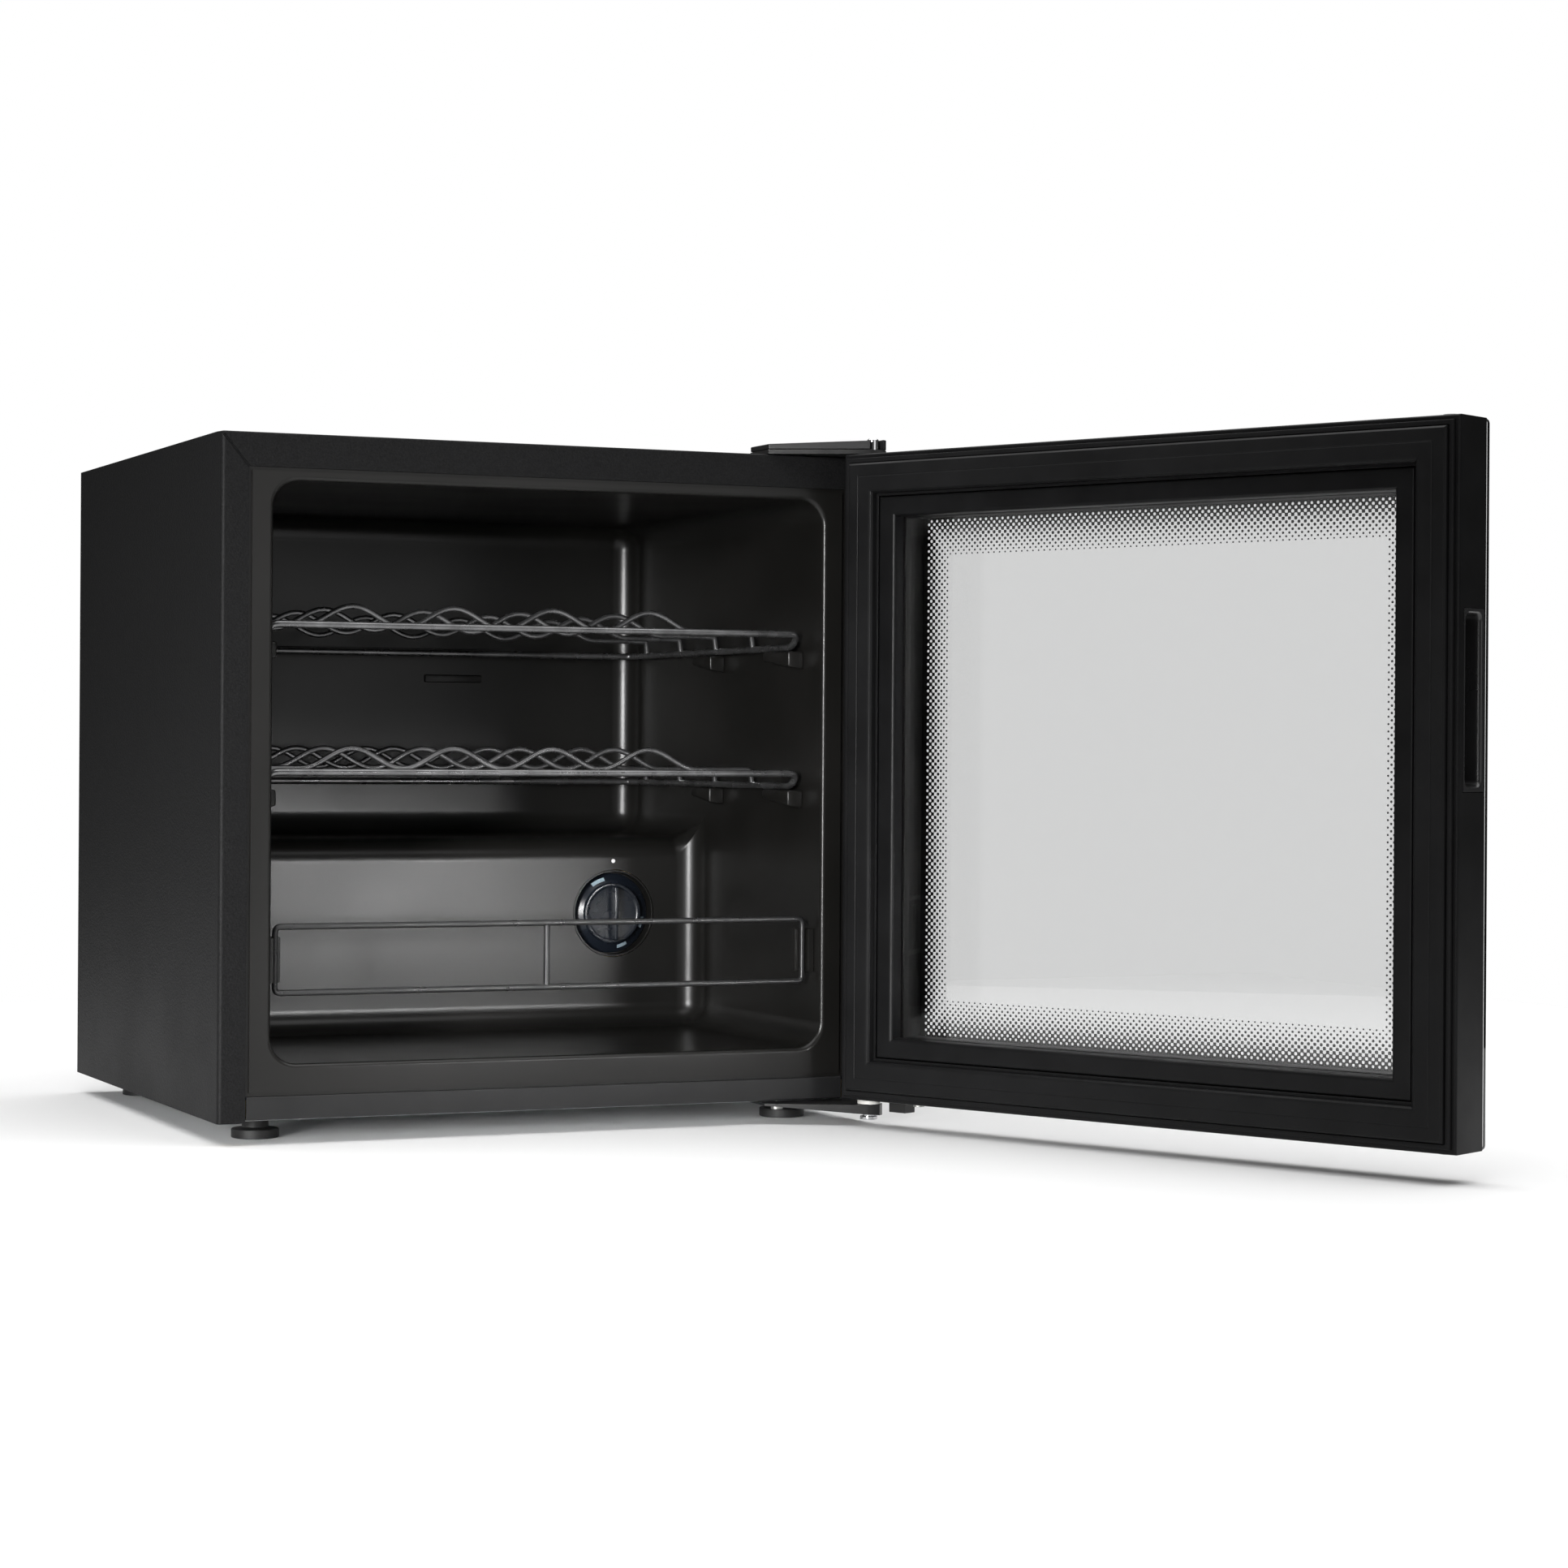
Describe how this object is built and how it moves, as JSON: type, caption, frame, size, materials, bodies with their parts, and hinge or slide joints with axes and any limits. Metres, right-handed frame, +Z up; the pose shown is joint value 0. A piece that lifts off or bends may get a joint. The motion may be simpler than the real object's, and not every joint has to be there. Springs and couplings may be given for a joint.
{
  "type": "wine cooler",
  "caption": "Compact black cooler for wine bottles: foamed cabinet, pull-out wire cradles, front guard rail, dial thermostat, rear compressor and a framed glass door.",
  "frame": {"origin": "middle of the underside of the whole object's box, on the floor, with the door at its rest angle", "axes": "-Y out of the cabinet's door side, +X towards the hinges, +Z up"},
  "size_m": [0.6753, 0.8554, 0.4785],
  "materials": {
    "painted_steel": "satin black sheet",
    "satin_plastic": "satin black",
    "liner_plastic": "semi-gloss charcoal",
    "foam": "foam cells",
    "galvanised": "galvanised sheet",
    "bare_aluminium": "mill finish",
    "black_steel": "black enamel",
    "black_plastic": "matte black",
    "knob_plastic": "semi-gloss blue black",
    "grip_plastic": "semi-gloss black",
    "spacer_plastic": "matte black",
    "gasket_rubber": "satin black",
    "shelf_wire": "dark plated wire",
    "rail_wire": "black coated wire",
    "rubber": "matte",
    "zinc": "zinc plated",
    "chrome": "polished",
    "copper": "bare copper tube",
    "white_plastic": "matte white",
    "glass": "clear, with a printed black border"
  },
  "bodies": {
    "cabinet": {"outer_shell": "painted_steel", "bottom_front_rail": "satin_plastic", "inner_liner": "liner_plastic", "insulation_foam": "foam", "rear_panel": "painted_steel", "compartment_hood": "galvanised", "base_pan": "galvanised", "evaporator_plate": "bare_aluminium", "thermostat_bezel": "liner_plastic", "thermostat_body": "galvanised", "compressor": "black_steel", "compressor_plate": "black_steel", "compressor_grommet_1": "rubber", "compressor_grommet_2": "rubber", "compressor_grommet_3": "rubber", "compressor_grommet_4": "rubber", "terminal_cover": "black_plastic", "drip_tray": "black_plastic", "drain_tube": "black_plastic", "condenser_coil": "black_steel", "condenser_wires": "black_steel", "condenser_bracket_left": "black_plastic", "condenser_bracket_right": "black_plastic", "filter_drier": "copper", "discharge_tube": "copper", "suction_tube": "copper", "cord_gland": "black_plastic", "upper_hinge_plate": "black_steel", "upper_hinge_cover": "satin_plastic", "upper_hinge_pin": "chrome", "upper_hinge_screw_1": "zinc", "upper_hinge_screw_2": "zinc", "lower_hinge_bracket": "black_steel", "lower_hinge_pin": "chrome", "lower_hinge_washer": "white_plastic", "lower_hinge_screw_1": "zinc", "lower_hinge_screw_2": "zinc", "rear_foot_left": "black_plastic", "rear_foot_right": "black_plastic", "bottle_guard_rail": "rail_wire", "guard_rail_clip_left": "liner_plastic", "guard_rail_clip_right": "liner_plastic"},
    "door": {"door_frame": "satin_plastic", "outer_glass": "glass", "inner_glass": "glass", "glass_spacer": "spacer_plastic", "inner_frame": "satin_plastic", "door_gasket": "gasket_rubber", "handle_cup": "grip_plastic", "upper_hinge_bush": "white_plastic", "lower_hinge_bush": "white_plastic", "door_stop_plate": "black_steel", "door_stop_screw": "zinc", "hole_plug_top": "black_plastic", "hole_plug_bottom": "black_plastic"},
    "upper_shelf_body": {"upper_shelf": "shelf_wire"},
    "lower_shelf_body": {"lower_shelf": "shelf_wire"},
    "dial": {"thermostat_dial": "knob_plastic"},
    "left_foot": {"front_foot_left": "black_plastic"},
    "right_foot": {"front_foot_right": "black_plastic"}
  },
  "joints": [
    {"name": "door_swing", "type": "hinge", "parent": "cabinet", "child": "door", "pos_m": [0.12366, -0.00305, 0.24285], "axis": [0, 0, 1], "range_deg": [-115.3, 4.7]},
    {"name": "upper_shelf_pull", "type": "slide", "parent": "cabinet", "child": "upper_shelf_body", "axis": [0, -1, 0], "range_m": [0, 0.22]},
    {"name": "lower_shelf_pull", "type": "slide", "parent": "cabinet", "child": "lower_shelf_body", "axis": [0, -1, 0], "range_m": [0, 0.22]},
    {"name": "dial_turn", "type": "hinge", "parent": "cabinet", "child": "dial", "pos_m": [0.02996, 0.23695, 0.1377], "axis": [0, -1, 0], "range_deg": [-60, 240]},
    {"name": "left_foot_turn", "type": "hinge", "parent": "cabinet", "child": "left_foot", "pos_m": [-0.29684, 0.07395, 0.008], "axis": [0, 0, 1], "continuous": true},
    {"name": "right_foot_turn", "type": "hinge", "parent": "cabinet", "child": "right_foot", "pos_m": [0.09316, 0.07395, 0.008], "axis": [0, 0, 1], "continuous": true}
  ]
}
